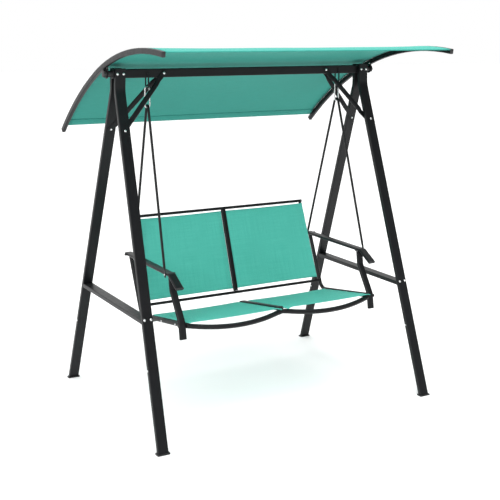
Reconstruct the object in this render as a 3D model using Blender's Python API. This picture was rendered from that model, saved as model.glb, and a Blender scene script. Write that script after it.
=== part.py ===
"""Two-seat canopy porch swing: A-frame stand, tilting canopy and hanging sling seat.

Metres, +Z up, +X to the right as one looks at the front, and the front of the swing faces -Y.
The empty "swing_origin" carries every piece. Its own origin is the floor point midway between
the feet, and it is shifted so that the whole swing stands centred on the world origin.
Every moving group hangs from an empty on its joint's axis.
"""
import math

import bmesh
import bpy
from mathutils import Matrix, Vector

# ---------------------------------------------------------------- driving dimensions
GAP = 0.0003               # clearance kept between two pieces that touch
WALL = 0.0012              # wall of the steel tubes
BACK_WALL = 0.0025         # the back's tubes are thicker, so the empty seat hangs level
FRONT_WALL = 0.0008        # wall of the seat's front rail and front posts
CENTRE_SHIFT_Y = 0.0249    # moves the stand so that the swing's own box is centred on y = 0

# stand
FOOT_HALF_X = 0.728        # foot centre from the middle of the swing, side to side
FOOT_HALF_Y = 0.5524       # leg centre line at floor level, front to rear
LEG_SPLAY = 0.0362         # sideways lean of the A-frames, metres per metre of height
LEG_RAKE = 0.3463          # front-to-rear lean of a leg, metres per metre of height
LEG_WIDE = 0.050
LEG_DEEP = 0.020
LEG_CORNER = 0.003
LEG_BOTTOM_Z = 0.0053
LEG_TOP_Z = 1.6268
LEG_BEND_R = 0.100
LEG_SPLIT_Z = 0.360        # joint between lower and upper leg
SPIGOT_LENGTH = 0.060      # how far the lower leg reaches into the upper one
SPIGOT_PLAY = 0.0003
BEAM_Z = 1.605
BEAM_TALL = 0.040
BEAM_DEEP = 0.025
BEAM_CORNER = 0.004
BEAM_HALF = 0.6955
FOOT_BASE = (0.062, 0.034)
FOOT_BASE_THICK = 0.005
FOOT_PLUG_TOP = 0.032
STRETCHER_Z = 0.546
BRACE_BEAM_X = 0.449       # bolt of a brace on the beam
BRACE_LEG_Z = 1.355        # bolt of a brace on its leg
BRACE_WIDE = 0.024
BRACE_DEEP = 0.014
BRACE_TAB = 0.004          # thickness of a brace's flattened ends
BRACE_OVERRUN = 0.012      # tab beyond the bolt

# hanging gear
HANGER_X = 0.5275
HANGER_R = 0.0035          # wire radius of the stirrup under the beam
HANGER_BOTTOM_Z = 1.5372   # centre line of the stirrup at its lowest point
EYE_WIDE = 0.014           # a stirrup's flattened ends, which are bolted to the beam
EYE_THICK = 0.0036
EYE_ABOVE = 0.0075         # from the beam's middle up to a stirrup's end
EYE_BELOW = 0.0090         # from the beam's middle down to where the wire is still flat
EYE_BEND = 0.0100          # length of the bend from the flat end to the round wire
HOOK_R = 0.0035
HOOK_HALF = 0.0115         # half width of the snap hook, on its centre line
HOOK_BOTTOM_Z = 1.4490     # centre line of the hook's bottom bend
GATE_R = 0.0030
GATE_LOW_Z = 1.4790        # pivot of the sprung gate
GATE_HIGH_Z = 1.5180
GATE_PLAY = 0.0006

# canopy
ARCH_X = 0.736
ARCH_WIDE = 0.018
ARCH_DEEP = 0.024
ARCH_CREST_Y = -0.462
ARCH_CREST_Z = 1.720
ARCH_FRONT_R = 1.362       # bend radius of the front part of an arch
ARCH_REAR_R = 1.843        # bend radius of the rear part
ARCH_CHANGE = math.radians(25.6)
ARCH_FRONT_END = math.radians(-6.58)
ARCH_REAR_END = math.radians(41.6)
CANOPY_BAR = (0.020, 0.003)   # flat bars that lie in the cloth's front and rear hem
BAR_LIFT = 0.0080          # bar centre above the arches' centre line
FRONT_BAR_INSET = 0.0125   # along the arch, from its front end to the front bar's centre
REAR_BAR_INSET = 0.0425
BAR_TO_EDGE = 0.0122       # from a bar's centre to the cloth's edge
CANOPY_CLOTH = 0.002
BRACKET_THICK = 0.003
BRACKET_DISC_R = 0.021
BRACKET_HALF = 0.030
PIVOT_HOLE_R = 0.0048
BOSS_R = 0.015
KNOB_R = 0.0168
KNOB_THICK = 0.016
KNOB_SHANK_R = 0.004

# seat
ARM_X = 0.5345
ARM_WIDE = 0.040
ARM_THICK = 0.015
ARM_Z = 0.7145
ARM_REAR_Y = 0.236
ARM_BEND_Y = -0.254
ARM_TIP = (-0.336, 0.668)
POST_X = 0.527
POST_WIDE = 0.036
POST_DEEP = 0.015
SIDE_X = 0.5305
SIDE_R = 0.010
SIDE_TOP_Y = 0.217
SIDE_CORNER = (0.095, 0.430)
SIDE_CORNER_R = 0.050
SIDE_RAIL_FRONT_Y = -0.3305
SIDE_RAIL_RISE = 0.160     # rise of the side frame's rail per metre towards the front
ROD_R = 0.0060
ROD_APEX_Z = 1.4590        # centre line at the top of a hanger rod
ROD_APEX_R = 0.014
ROD_HALF_ANGLE = math.radians(16.05)
ROD_FRONT = (0.5575, -0.2360, 0.700)   # front end, outside the armrest
ROD_REAR = (0.5113, 0.2195, 0.700)     # rear end, inside the armrest
ROD_FLAT = 0.030           # length of a rod's flattened end
SEAT_FRONT_Y = -0.378
SEAT_REAR_Y = 0.020
SEAT_FRONT_Z = 0.5175      # middle of the sling at its front edge
SEAT_SLOPE = -0.170        # rise of the seat per metre towards the rear
SLING_THICK = 0.0024
SLING_INNER_X = 0.0175
SLING_OUTER_X = 0.5035
RAIL_X = 0.4955
RAIL_R = 0.008
CENTRE_BAR = (0.034, 0.019)
FRONT_RAIL_R = 0.012
FRONT_RAIL_HALF = 0.5085
FRONT_RAIL_Y = -0.346
FRONT_RAIL_Z = 0.4945
SCALLOP_DOWN = 0.020
SCALLOP_FORWARD = 0.045
SCALLOP_BLEND = 0.012      # half length of the soft bend between the two scallops
CROSS_RAIL_R = 0.008
CROSS_RAIL_Y = 0.010
CROSS_RAIL_Z = 0.4252
CROSS_RAIL_HALF = 0.540
BACK_LOW = (0.098, 0.478)  # y, z of the back's bottom rail
BACK_TOP = (0.2425, 0.8935)
BACK_RAIL_R = 0.0075
STILE_LOW_X = 0.4953       # the outer stiles spread downwards
STILE_TOP_X = 0.4739
STILE_R = 0.008
CENTRE_STILE = (0.026, 0.014)
BACK_SLING_LOW = 0.020     # from the bottom rail's centre to the sling
BACK_SLING_TOP = 0.014

POWDER_BLACK = (0.030, 0.031, 0.034)
PLASTIC_BLACK = (0.018, 0.018, 0.019)
ZINC = (0.62, 0.63, 0.65)
TURQUOISE = (0.105, 0.520, 0.430)

AXIS_X = Vector((1, 0, 0))
AXIS_Y = Vector((0, 1, 0))
AXIS_Z = Vector((0, 0, 1))
SIDES = {"left": -1, "right": 1}
ENDS = {"front": -1, "rear": 1}

# ---------------------------------------------------------------- values that follow
LEG_TOP_Y = BEAM_DEEP / 2 + GAP + LEG_DEEP / 2
LEG_FACE = LEG_DEEP / 2 * math.hypot(1, LEG_RAKE)     # half a leg's depth, measured level
HOOK_TOP_Z = HANGER_BOTTOM_Z + HANGER_R + GAP + HOOK_R
ARCH_INNER_X = ARCH_X - ARCH_WIDE / 2
BACK_HEIGHT = math.dist(BACK_LOW, BACK_TOP)
BRACKET_X = ARCH_INNER_X - GAP - BRACKET_THICK / 2
ROD_CORNER_Z = ROD_APEX_Z + ROD_APEX_R * (1 / math.sin(ROD_HALF_ANGLE) - 1)


# ---------------------------------------------------------------- scene and materials
def clear_scene():
    for item in list(bpy.data.objects):
        bpy.data.objects.remove(item, do_unlink=True)


def make_material(name, colour, roughness, metallic):
    material = bpy.data.materials.new(name)
    material.use_nodes = True
    shader = material.node_tree.nodes["Principled BSDF"]
    shader.inputs["Base Color"].default_value = (*colour, 1.0)
    shader.inputs["Roughness"].default_value = roughness
    shader.inputs["Metallic"].default_value = metallic
    return material


def make_empty(name, location, parent=None):
    empty = bpy.data.objects.new(name, None)
    empty.location = location
    empty.parent = parent
    bpy.context.scene.collection.objects.link(empty)
    return empty


class Group:
    """A set of pieces that share a parent empty, whose place is given in the stand's frame."""

    def __init__(self, name, parent_group, pivot):
        self.pivot = Vector(pivot)
        parent = parent_group.empty if parent_group else None
        offset = self.pivot - parent_group.pivot if parent_group else Vector()
        self.empty = make_empty(name, offset, parent)

    def add(self, name, shape, material):
        """Turns a bmesh in the stand's frame into a named object with its origin on the pivot."""
        bmesh.ops.recalc_face_normals(shape, faces=shape.faces)
        mesh = bpy.data.meshes.new(name)
        shape.to_mesh(mesh)
        shape.free()
        mesh.transform(Matrix.Translation(-self.pivot))
        mesh.shade_smooth()
        mesh.set_sharp_from_angle(angle=math.radians(35))
        mesh.materials.append(material)
        piece = bpy.data.objects.new(name, mesh)
        piece.parent = self.empty
        bpy.context.scene.collection.objects.link(piece)
        return piece


# ---------------------------------------------------------------- outlines and paths
def rounded_outline(width, depth, radius, steps=3):
    """Closed outline, counter-clockwise, with each corner rounded by a short arc."""
    points = []
    for quarter, (sx, sy) in enumerate(((1, 1), (-1, 1), (-1, -1), (1, -1))):
        for step in range(steps):
            angle = math.pi / 2 * (quarter + step / (steps - 1))
            points.append((sx * (width / 2 - radius) + radius * math.cos(angle),
                           sy * (depth / 2 - radius) + radius * math.sin(angle)))
    return points


def round_outline(radius, sides=12):
    turn = math.tau / sides
    return [(radius * math.cos(turn * i), radius * math.sin(turn * i)) for i in range(sides)]


def lobed_outline(radius, lobes=6, depth=0.06, sides=24):
    points = []
    for i in range(sides):
        angle = math.tau * i / sides
        reach = radius * (1 - depth + depth * math.cos(lobes * angle))
        points.append((reach * math.cos(angle), reach * math.sin(angle)))
    return points


def box_tube(width, depth, radius, wall=WALL):
    """Outer and inner outline of a rectangular or flat-oval tube."""
    inner = rounded_outline(width - 2 * wall, depth - 2 * wall, radius - wall)
    return rounded_outline(width, depth, radius), inner


def round_tube(radius, wall=WALL, sides=12):
    return round_outline(radius, sides), round_outline(radius - wall, sides)


def fillet(points, radius, steps=5):
    """Polyline through points, with an arc of the given radius at each inner corner."""
    result = [points[0]]
    for before, corner, after in zip(points, points[1:], points[2:]):
        back = (before - corner).normalized()
        ahead = (after - corner).normalized()
        half = back.angle(ahead) / 2
        middle = corner + (back + ahead).normalized() * (radius / math.sin(half))
        start = corner + back * (radius / math.tan(half)) - middle
        end = corner + ahead * (radius / math.tan(half)) - middle
        sweep = start.angle(end)
        for step in range(steps + 1):
            early = math.sin((1 - step / steps) * sweep) / math.sin(sweep)
            late = math.sin(step / steps * sweep) / math.sin(sweep)
            result.append(middle + start * early + end * late)
    result.append(points[-1])
    return result


def half_turn(centre, start, end_side, steps=8):
    """Points of a half circle about centre, from centre + start through centre + end_side."""
    points = []
    for step in range(steps + 1):
        angle = math.pi * step / steps
        points.append(centre + start * math.cos(angle) + end_side * math.sin(angle))
    return points


def path_directions(path, closed):
    count = len(path)
    result = []
    for i, point in enumerate(path):
        total = Vector()
        if closed or i > 0:
            total += (point - path[i - 1]).normalized()
        if closed or i < count - 1:
            total += (path[(i + 1) % count] - point).normalized()
        result.append(total.normalized())
    return result


# ---------------------------------------------------------------- mesh makers
def sweep_rings(path, outlines, sides, directions=None, cuts=(None, None), closed=False):
    """One ring of points for each path point.

    An outline's first coordinate runs along the matching vector of sides, its second across.
    cuts gives the plane normals that slope the two end faces.
    """
    count = len(path)
    if not isinstance(sides, list):
        sides = [sides] * count
    if not isinstance(outlines[0], list):
        outlines = [outlines] * count
    directions = directions or path_directions(path, closed)
    rings = []
    for i, (centre, outline, side, along) in enumerate(zip(path, outlines, sides, directions)):
        across_u = (side - along * side.dot(along)).normalized()
        across_v = along.cross(across_u)
        ring = [centre + across_u * a + across_v * b for a, b in outline]
        normal = cuts[0] if i == 0 else cuts[1] if i == count - 1 else None
        if normal is not None:
            ring = [p - along * ((p - centre).dot(normal) / along.dot(normal)) for p in ring]
        rings.append(ring)
    return rings


def skin(rings, closed=False):
    """Joins rings of equal length with quads; an open stack gets a cap at each end."""
    shape = bmesh.new()
    loops = [[shape.verts.new(point) for point in ring] for ring in rings]
    pairs = list(zip(loops, loops[1:]))
    if closed:
        pairs.append((loops[-1], loops[0]))
    for low, high in pairs:
        for i in range(len(low)):
            j = (i + 1) % len(low)
            shape.faces.new((low[i], low[j], high[j], high[i]))
    if not closed:
        shape.faces.new(loops[0])
        shape.faces.new(loops[-1])
    return shape


def tube(path, outlines, sides, cuts=(None, None)):
    """Open-ended tube: the outer skin one way, the inner skin back."""
    outer, inner = outlines
    return skin(sweep_rings(path, outer, sides, cuts=cuts)
                + sweep_rings(path, inner, sides, cuts=cuts)[::-1], closed=True)


def rod(path, outline, sides, closed=False):
    return skin(sweep_rings(path, outline, sides, closed=closed), closed=closed)


def turned(stations, outlines, axis_point, sign):
    """Solid about an axis along X: each station is a distance outwards on its side."""
    rings = []
    for station, outline in zip(stations, outlines):
        rings.append([axis_point + Vector((sign * station, a, b)) for a, b in outline])
    return skin(rings)


def plate(corners, x_middle, thickness):
    """Flat plate across X with the given y, z corners."""
    rings = []
    for x in (x_middle - thickness / 2, x_middle + thickness / 2):
        rings.append([Vector((x, y, z)) for y, z in corners])
    return skin(rings)


def cross_bar(half, y, z, radius, wall=WALL):
    path = [Vector((-half, y, z)), Vector((half, y, z))]
    return tube(path, round_tube(radius, wall), AXIS_Y)


# ---------------------------------------------------------------- stand
def leg_point(sx, sy, z):
    """Centre line of the straight part of a leg."""
    return Vector((sx * (FOOT_HALF_X - LEG_SPLAY * z), sy * (FOOT_HALF_Y - LEG_RAKE * z), z))


def leg_directions(sx, sy):
    """Unit vectors up a leg, across its wide face, and out of that face, away from the middle."""
    along = (leg_point(sx, sy, 1) - leg_point(sx, sy, 0)).normalized()
    wide = Vector((sx, 0, LEG_SPLAY)).normalized()
    return along, wide, along.cross(wide) * (sx * sy)


def make_legs(stand, steel, plastic):
    outlines = box_tube(LEG_WIDE, LEG_DEEP, LEG_CORNER)
    inset = WALL + SPIGOT_PLAY
    spigot = box_tube(LEG_WIDE - 2 * inset, LEG_DEEP - 2 * inset, LEG_CORNER - inset)
    bend_z = (FOOT_HALF_Y - LEG_TOP_Y) / LEG_RAKE
    for side, sx in SIDES.items():
        for end, sy in ENDS.items():
            along, flat, _ = leg_directions(sx, sy)
            split = leg_point(sx, sy, LEG_SPLIT_Z)

            top = Vector((sx * (FOOT_HALF_X - LEG_SPLAY * LEG_TOP_Z), sy * LEG_TOP_Y, LEG_TOP_Z))
            path = fillet([split + along * GAP, leg_point(sx, sy, bend_z), top], LEG_BEND_R, 4)
            stand.add(f"leg_upper_{end}_{side}", tube(path, outlines, flat, (None, AXIS_Z)), steel)

            foot = leg_point(sx, sy, LEG_BOTTOM_Z)
            tip = split + along * SPIGOT_LENGTH
            step_in = split - along * 0.004
            outer = sweep_rings([foot, split, split, tip],
                                [outlines[0], outlines[0], spigot[0], spigot[0]],
                                flat, [along] * 4, (AXIS_Z, None))
            inner = sweep_rings([foot, step_in, step_in, tip],
                                [outlines[1], outlines[1], spigot[1], spigot[1]],
                                flat, [along] * 4, (AXIS_Z, None))
            stand.add(f"leg_lower_{end}_{side}", skin(outer + inner[::-1], closed=True), steel)
            stand.add(f"foot_cap_{end}_{side}", foot_cap(sx, sy), plastic)


def foot_cap(sx, sy):
    """Plastic foot: a flat base under the leg's end and a plug up inside the tube."""
    inset = WALL + GAP
    plug = rounded_outline(LEG_WIDE - 2 * inset, 2 * LEG_FACE - 2.2 * inset, LEG_CORNER - inset)
    base = rounded_outline(*FOOT_BASE, 0.006)
    levels = [(0.0, base), (FOOT_BASE_THICK, base), (FOOT_BASE_THICK, plug), (FOOT_PLUG_TOP, plug)]
    rings = []
    for z, outline in levels:
        centre = leg_point(sx, sy, z)
        rings.append([centre + Vector((a, b, 0)) for a, b in outline])
    return skin(rings)


def make_beam(stand, steel):
    path = [Vector((-BEAM_HALF, 0, BEAM_Z)), Vector((BEAM_HALF, 0, BEAM_Z))]
    stand.add("top_beam", tube(path, box_tube(BEAM_DEEP, BEAM_TALL, BEAM_CORNER), AXIS_Y), steel)


def make_stretchers(stand, steel):
    """Flat tubes between the front and rear leg of each side, with ends cut to the legs."""
    outlines = box_tube(LEG_WIDE, LEG_DEEP, LEG_CORNER)
    reach = FOOT_HALF_Y - LEG_RAKE * STRETCHER_Z - LEG_FACE - 2 * GAP
    cuts = (Vector((0, 1, -LEG_RAKE)), Vector((0, 1, LEG_RAKE)))
    for side, sx in SIDES.items():
        x = leg_point(sx, 1, STRETCHER_Z).x
        path = [Vector((x, -reach, STRETCHER_Z)), Vector((x, reach, STRETCHER_Z))]
        stand.add(f"side_stretcher_{side}", tube(path, outlines, AXIS_X, cuts), steel)


def make_braces(stand, steel):
    """Corner braces with flattened ends, one on each face of the beam at each side."""
    tab = box_tube(BRACE_WIDE, BRACE_TAB, BRACE_TAB * 0.45)
    body = box_tube(BRACE_WIDE, BRACE_DEEP, BRACE_DEEP * 0.45)
    for side, sx in SIDES.items():
        for end, sy in ENDS.items():
            beam_face = AXIS_Y * sy
            leg_face = leg_directions(sx, sy)[2]
            beam_bolt = Vector((sx * BRACE_BEAM_X, 0, BEAM_Z))
            beam_bolt += beam_face * (BEAM_DEEP / 2 + GAP + BRACE_TAB / 2)
            leg_bolt = leg_point(sx, sy, BRACE_LEG_Z)
            leg_bolt -= leg_face * (LEG_DEEP / 2 + GAP + BRACE_TAB / 2)
            line = leg_bolt - beam_bolt
            on_beam = (line - beam_face * line.dot(beam_face)).normalized()
            on_leg = (line - leg_face * line.dot(leg_face)).normalized()
            path = [beam_bolt - on_beam * BRACE_OVERRUN, beam_bolt + on_beam * 0.042,
                    beam_bolt + line * 0.20, beam_bolt + line * 0.78,
                    leg_bolt - on_leg * 0.060, leg_bolt + on_leg * BRACE_OVERRUN]
            faces = [beam_face, beam_face, beam_face, leg_face, leg_face, leg_face]
            along = path_directions(path, closed=False)
            widths = [face.cross(direction) for face, direction in zip(faces, along)]
            shapes = [tab, tab, body, body, tab, tab]
            outer = sweep_rings(path, [shape[0] for shape in shapes], widths)
            inner = sweep_rings(path, [shape[1] for shape in shapes], widths)
            stand.add(f"brace_{end}_{side}", skin(outer + inner[::-1], closed=True), steel)


def make_hangers(stand, steel):
    """Wire stirrups under the beam, with a round bottom for the hooks and flat bolted ends."""
    half = BEAM_DEEP / 2 + GAP + HANGER_R
    eye_y = BEAM_DEEP / 2 + GAP + EYE_THICK / 2
    turn_z = HANGER_BOTTOM_Z + half
    wire = round_outline(HANGER_R, 8)
    eye = [(EYE_WIDE / 2 * math.cos(i * math.tau / 8), EYE_THICK / 2 * math.sin(i * math.tau / 8))
           for i in range(8)]
    levels = [(eye_y, BEAM_Z + EYE_ABOVE), (eye_y, BEAM_Z - EYE_BELOW),
              (half, BEAM_Z - EYE_BELOW - EYE_BEND)]
    for side, sx in SIDES.items():
        x = sx * HANGER_X
        front = [Vector((x, -y, z)) for y, z in levels]
        rear = [Vector((x, y, z)) for y, z in levels]
        under = half_turn(Vector((x, 0, turn_z)), Vector((0, -half, 0)), Vector((0, 0, -half)))
        outlines = [eye, eye] + [wire] * (len(under) + 2) + [eye, eye]
        stand.add(f"beam_hanger_{side}",
                  rod(front + under + rear[::-1], outlines, AXIS_X), steel)


def make_end_plugs(stand, plastic):
    """Plug in each beam end, with a flange and the round boss that the canopy turns on."""
    insert = rounded_outline(BEAM_DEEP - 0.0036, BEAM_TALL - 0.0036, BEAM_CORNER - 0.0018)
    flange = rounded_outline(0.034, 0.044, 0.008)
    boss = round_outline(BOSS_R)
    hole = round_outline(PIVOT_HOLE_R)
    flange_x = BEAM_HALF + 0.0007
    boss_x = BRACKET_X - BRACKET_THICK / 2 - GAP
    stations = [BEAM_HALF - 0.018, flange_x, flange_x, flange_x + 0.004, flange_x + 0.004,
                boss_x, boss_x, boss_x - 0.020]
    outlines = [insert, insert, flange, flange, boss, boss, hole, hole]
    for side, sx in SIDES.items():
        axis_point = Vector((0, 0, BEAM_Z))
        stand.add(f"beam_end_plug_{side}", turned(stations, outlines, axis_point, sx), plastic)


# ---------------------------------------------------------------- canopy
def canopy_point(x, angle, lift=0.0):
    """Point on an arch's centre line, or lift above it; angle is the slope there."""
    y = ARCH_CREST_Y
    z = ARCH_CREST_Z - ARCH_FRONT_R
    radius = ARCH_FRONT_R
    if angle > ARCH_CHANGE:
        y += (ARCH_FRONT_R - ARCH_REAR_R) * math.sin(ARCH_CHANGE)
        z += (ARCH_FRONT_R - ARCH_REAR_R) * math.cos(ARCH_CHANGE)
        radius = ARCH_REAR_R
    reach = radius + lift
    return Vector((x, y + reach * math.sin(angle), z + reach * math.cos(angle)))


def canopy_path(x, start, end, lift, steps):
    return [canopy_point(x, start + (end - start) * i / steps, lift) for i in range(steps + 1)]


def make_canopy(canopy, steel, cloth):
    outlines = box_tube(ARCH_WIDE, ARCH_DEEP, 0.004)
    for side, sx in SIDES.items():
        path = canopy_path(sx * ARCH_X, ARCH_FRONT_END, ARCH_REAR_END, 0, 20)
        canopy.add(f"canopy_arch_{side}", tube(path, outlines, AXIS_X), steel)
        make_bracket(canopy, side, sx, steel)

    front = ARCH_FRONT_END + FRONT_BAR_INSET / ARCH_FRONT_R
    rear = ARCH_REAR_END - REAR_BAR_INSET / ARCH_REAR_R
    for end, angle in (("front", front), ("rear", rear)):
        half = Vector((ARCH_INNER_X - GAP, 0, 0))
        centre = canopy_point(0, angle, BAR_LIFT)
        tangent = Vector((0, math.cos(angle), -math.sin(angle)))
        section = rounded_outline(*CANOPY_BAR, CANOPY_BAR[1] * 0.45)
        canopy.add(f"canopy_bar_{end}", rod([centre - half, centre + half], section, tangent),
                   steel)

    path = canopy_path(0, front - BAR_TO_EDGE / ARCH_FRONT_R, rear + BAR_TO_EDGE / ARCH_REAR_R,
                       BAR_LIFT + (CANOPY_BAR[1] + CANOPY_CLOTH) / 2 + GAP, 24)
    half = ARCH_INNER_X - 0.0008
    edge = CANOPY_CLOTH / 2
    sheet = [(half, edge), (-half, edge), (-half, -edge), (half, -edge)]
    canopy.add("canopy_cloth", rod(path, sheet, AXIS_X), cloth)


def make_bracket(canopy, side, sx, steel):
    """Steel plate on the inner face of an arch; its round lower end turns on the beam's boss."""
    pivot = Vector((0, 0, BEAM_Z))
    angle = min((math.radians(i / 10) for i in range(100, 300)),
                key=lambda a: (canopy_point(0, a) - pivot).length)
    away = (canopy_point(0, angle) - pivot).length
    normal = (math.sin(angle), math.cos(angle))
    tangent = (math.cos(angle), -math.sin(angle))
    corners = [(BRACKET_HALF, away - 0.010), (BRACKET_HALF, away + 0.006),
               (-BRACKET_HALF, away + 0.006), (-BRACKET_HALF, away - 0.010)]
    for step in range(11):
        turn = math.pi * (1 + step / 10)
        corners.append((BRACKET_DISC_R * math.cos(turn), BRACKET_DISC_R * math.sin(turn)))
    outline = [(t * tangent[0] + n * normal[0], BEAM_Z + t * tangent[1] + n * normal[1])
               for t, n in corners]
    piece = canopy.add(f"canopy_bracket_{side}",
                       plate(outline, sx * BRACKET_X, BRACKET_THICK), steel)
    stations = [BRACKET_X - 0.01, BRACKET_X + 0.01]
    drill = canopy.add(f"bracket_drill_{side}",
                       turned(stations, [round_outline(PIVOT_HOLE_R, 16)] * 2, pivot, sx), steel)
    drill.hide_render = True
    drill.display_type = "WIRE"
    hole = piece.modifiers.new("pivot_hole", "BOOLEAN")
    hole.operation = "DIFFERENCE"
    hole.object = drill


def make_knob(group, name, sx, plastic):
    """Lobed clamp knob with the shank that runs through the bracket into the boss."""
    shank = round_outline(KNOB_SHANK_R, 24)
    grip = lobed_outline(KNOB_R)
    inner_x = ARCH_INNER_X
    stations = [inner_x - 0.018, inner_x, inner_x, inner_x + 0.002,
                inner_x + KNOB_THICK - 0.003, inner_x + KNOB_THICK]
    outlines = [shank, shank, lobed_outline(KNOB_R * 0.75), grip, grip,
                lobed_outline(KNOB_R * 0.72)]
    group.add(name, turned(stations, outlines, Vector((0, 0, BEAM_Z)), sx), plastic)


# ---------------------------------------------------------------- hooks
def make_hook(hooks, side, sx, zinc):
    """Snap hook: an oval of wire, open on its inner side where the gate closes it."""
    centre_x = sx * HANGER_X
    gate_x = centre_x - sx * HOOK_HALF
    solid_x = centre_x + sx * HOOK_HALF
    low_z = HOOK_BOTTOM_Z + HOOK_HALF
    high_z = HOOK_TOP_Z - HOOK_HALF
    across = Vector((sx * HOOK_HALF, 0, 0))
    path = [Vector((gate_x, 0, GATE_LOW_Z - GATE_R - GATE_PLAY))]
    path += half_turn(Vector((centre_x, 0, low_z)), -across, Vector((0, 0, -HOOK_HALF)))
    path += [Vector((solid_x, 0, (low_z + high_z) / 2))]
    path += half_turn(Vector((centre_x, 0, high_z)), across, Vector((0, 0, HOOK_HALF)))
    path += [Vector((gate_x, 0, GATE_HIGH_Z + GATE_PLAY))]
    hooks.add(f"snap_hook_{side}", rod(path, round_outline(HOOK_R, 8), AXIS_Y), zinc)


def make_gate(group, side, sx, zinc):
    """Straight sprung gate with a round lower end, about which it swings inwards."""
    foot = Vector((sx * (HANGER_X - HOOK_HALF), 0, GATE_LOW_Z))
    path = []
    outlines = []
    for tilt in (80, 50, 25, 0):
        angle = math.radians(tilt)
        path.append(foot - AXIS_Z * GATE_R * math.sin(angle))
        outlines.append(round_outline(GATE_R * math.cos(angle), 8))
    path.append(Vector((foot.x, 0, GATE_HIGH_Z)))
    outlines.append(outlines[-1])
    group.add(f"hook_gate_{side}", rod(path, outlines, AXIS_Y), zinc)


# ---------------------------------------------------------------- seat
def seat_point(x, y, drop=0.0):
    """Point under the middle surface of the seat slings, drop below it."""
    down = Vector((0, SEAT_SLOPE, -1)).normalized()
    return Vector((x, y, SEAT_FRONT_Z + SEAT_SLOPE * (y - SEAT_FRONT_Y))) + down * drop


def make_hanger_rods(seat, steel):
    """One bent rod a side: over the hook at the top, flattened and bolted to the arm below."""
    flat = rounded_outline(0.004, 0.013, 0.0019)
    full = round_outline(ROD_R)
    for side, sx in SIDES.items():
        corner = Vector((sx * HANGER_X, 0, ROD_CORNER_Z))
        front = Vector((sx * ROD_FRONT[0], *ROD_FRONT[1:]))
        rear = Vector((sx * ROD_REAR[0], *ROD_REAR[1:]))
        bend = fillet([front, corner, rear], ROD_APEX_R, 8)[1:-1]
        front_line = (corner - front).normalized()
        rear_line = (corner - rear).normalized()
        path = [front, front + front_line * ROD_FLAT, front + front_line * ROD_FLAT * 1.6]
        path += bend
        path += [rear + rear_line * ROD_FLAT * 1.6, rear + rear_line * ROD_FLAT, rear]
        outlines = [flat, flat] + [full] * (len(bend) + 2) + [flat, flat]
        seat.add(f"hanger_rod_{side}", rod(path, outlines, AXIS_X), steel)


def make_arm_frames(seat, steel):
    under_arm = ARM_Z - ARM_THICK / 2 - GAP
    for side, sx in SIDES.items():
        arm = [(ARM_REAR_Y, ARM_Z), (ARM_BEND_Y, ARM_Z), ARM_TIP]
        path = fillet([Vector((sx * ARM_X, y, z)) for y, z in arm], 0.03, 4)
        seat.add(f"armrest_{side}",
                 tube(path, box_tube(ARM_WIDE, ARM_THICK, 0.0070), AXIS_X), steel)

        post = [(-0.2400, under_arm), (-0.2505, 0.640), (-0.339, 0.508), (-0.352, 0.437)]
        path = fillet([Vector((sx * POST_X, y, z)) for y, z in post], 0.04, 4)
        seat.add(f"arm_post_front_{side}",
                 tube(path, box_tube(POST_WIDE, POST_DEEP, 0.0070, FRONT_WALL), AXIS_X,
                      (AXIS_Z, AXIS_Z)), steel)

        corner_y, corner_z = SIDE_CORNER
        front_z = corner_z + SIDE_RAIL_RISE * (corner_y - SIDE_RAIL_FRONT_Y)
        frame = [(SIDE_TOP_Y, under_arm), SIDE_CORNER, (SIDE_RAIL_FRONT_Y, front_z)]
        path = fillet([Vector((sx * SIDE_X, y, z)) for y, z in frame], SIDE_CORNER_R, 7)
        seat.add(f"side_frame_{side}", tube(path, round_tube(SIDE_R), AXIS_X, (AXIS_Z, None)),
                 steel)


def make_seat_frame(seat, steel):
    rail_drop = SLING_THICK / 2 + GAP + RAIL_R
    bar_drop = (CENTRE_BAR[1] - SLING_THICK) / 2 - 0.0005
    front_y = FRONT_RAIL_Y + FRONT_RAIL_R + 0.002
    rear_y = SEAT_REAR_Y + 0.012
    for side, sx in SIDES.items():
        path = [seat_point(sx * RAIL_X, front_y, rail_drop),
                seat_point(sx * RAIL_X, rear_y, rail_drop)]
        seat.add(f"seat_side_rail_{side}", tube(path, round_tube(RAIL_R), AXIS_X), steel)
    path = [seat_point(0, front_y, bar_drop), seat_point(0, rear_y, bar_drop)]
    seat.add("seat_centre_bar", tube(path, box_tube(*CENTRE_BAR, 0.0055), AXIS_X), steel)

    path = []
    steps = 36
    bay = FRONT_RAIL_HALF / 2
    for step in range(steps + 1):
        x = FRONT_RAIL_HALF * (2 * step / steps - 1)
        dip = 1 - ((math.hypot(x, SCALLOP_BLEND) - bay) / bay) ** 2
        path.append(Vector((x, FRONT_RAIL_Y - SCALLOP_FORWARD * dip,
                            FRONT_RAIL_Z - SCALLOP_DOWN * dip)))
    seat.add("seat_front_rail",
             tube(path, round_tube(FRONT_RAIL_R, FRONT_WALL), AXIS_Y, (AXIS_X, AXIS_X)), steel)
    bar = cross_bar(CROSS_RAIL_HALF, CROSS_RAIL_Y, CROSS_RAIL_Z, CROSS_RAIL_R, BACK_WALL)
    seat.add("seat_cross_rail", bar, steel)


def back_point(x, height):
    """Point in the back's middle plane, height above its bottom rail along the slope."""
    low = Vector((0, *BACK_LOW))
    return Vector((x, 0, 0)) + low + (Vector((0, *BACK_TOP)) - low).normalized() * height


def stile_x(height):
    """Distance of an outer stile's centre line from the middle, at a height up the back."""
    return STILE_LOW_X + (STILE_TOP_X - STILE_LOW_X) * height / BACK_HEIGHT


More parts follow.
